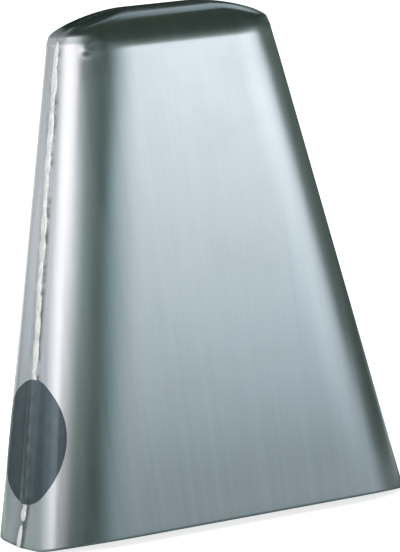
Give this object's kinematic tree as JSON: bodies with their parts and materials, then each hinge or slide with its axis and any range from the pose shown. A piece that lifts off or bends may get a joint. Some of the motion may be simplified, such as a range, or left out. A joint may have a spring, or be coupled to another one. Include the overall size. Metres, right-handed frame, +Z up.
{
  "type": "hand cowbell",
  "caption": "Tapered brushed-steel hand cowbell without a clapper: pressed half shells welded along the narrow sides and over a domed crown, open mouth down, bare round foil label on one side.",
  "frame": {"origin": "centre of the mouth, at the level of the narrow sides' rim, which the bell stands on", "axes": "+Z up from the mouth to the crown, +Y through the bell's depth, towards the rear half shell, +X along its width; the label is on the -X side"},
  "size_m": [0.161, 0.073, 0.2],
  "materials": {
    "shell_steel": "fine brushing from crown to mouth",
    "weld_steel": "rough rippled bead, as welded",
    "label_foil": "dark satin foil, no print"
  },
  "bodies": {
    "root": {"front_half_shell": "shell_steel", "rear_half_shell": "shell_steel", "left_side_weld": "weld_steel", "right_side_weld": "weld_steel", "crown_weld": "shell_steel", "side_label": "label_foil"}
  },
  "joints": []
}
